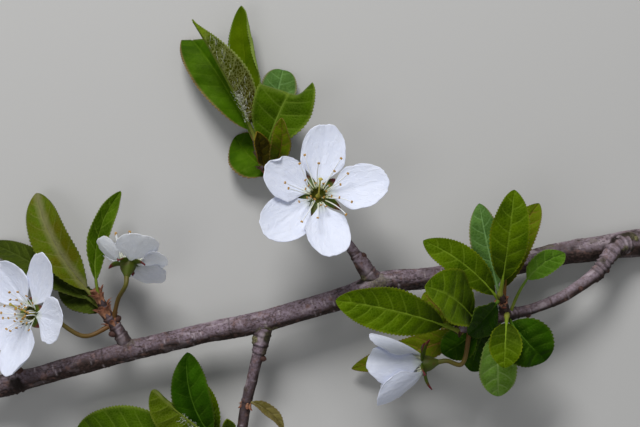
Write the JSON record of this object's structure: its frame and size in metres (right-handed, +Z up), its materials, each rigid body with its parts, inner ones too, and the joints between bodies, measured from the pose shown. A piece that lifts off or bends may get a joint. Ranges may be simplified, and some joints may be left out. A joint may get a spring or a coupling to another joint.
{
  "type": "cut flowering cherry branch",
  "caption": "Short cut branch of a flowering fruit tree in spring, lying down, with side twigs, stalked white blooms and young leaves.",
  "frame": {"origin": "on the surface the branch lies on, under the middle of its bounding box", "axes": "+X along the branch from its thin end to its butt, +Y across it towards the upper leaf tuft, +Z up"},
  "size_m": [0.1415, 0.0976, 0.0292],
  "materials": {
    "bark": "matte",
    "cut_wood": "matte",
    "bud_scale": "matte",
    "flower_stalk": "satin",
    "petal": "matte",
    "stamen": "matte",
    "anther": "matte",
    "leaf": "satin"
  },
  "bodies": {
    "root": {"back_bloom": "petal", "back_bloom_stalk": "flower_stalk", "left_bloom": "petal", "left_bloom_stalk": "flower_stalk", "left_leaf_dark": "leaf", "left_leaf_long": "leaf", "left_leaf_low": "leaf", "left_leaf_narrow": "leaf", "left_spur": "bark", "low_bloom": "petal", "low_bloom_stalk": "flower_stalk", "lower_bud_leaf": "leaf", "lower_leaf_back": "leaf", "lower_leaf_ridged": "leaf", "lower_leaf_upright": "leaf", "lower_leaf_wide": "leaf", "lower_leaflet": "leaf", "lower_twig": "bark", "main_branch": "bark", "middle_bloom": "petal", "middle_bloom_stalk": "flower_stalk", "right_leaf_blue": "leaf", "right_leaf_edge": "leaf", "right_leaf_front": "leaf", "right_leaf_hidden": "leaf", "right_leaf_long": "leaf", "right_leaf_reach": "leaf", "right_leaf_round": "leaf", "right_leaf_shade": "leaf", "right_leaf_small": "leaf", "right_leaf_stub": "leaf", "right_leaf_top": "leaf", "right_leaf_under": "leaf", "right_shoot": "bark", "right_twig": "bark", "upper_leaf_back": "leaf", "upper_leaf_broad": "leaf", "upper_leaf_folded": "leaf", "upper_leaf_low": "leaf", "upper_leaf_outer": "leaf", "upper_leaf_top": "leaf", "upper_leaflet_brown": "leaf", "upper_leaflet_green": "leaf", "upper_twig": "bark"}
  },
  "joints": []
}
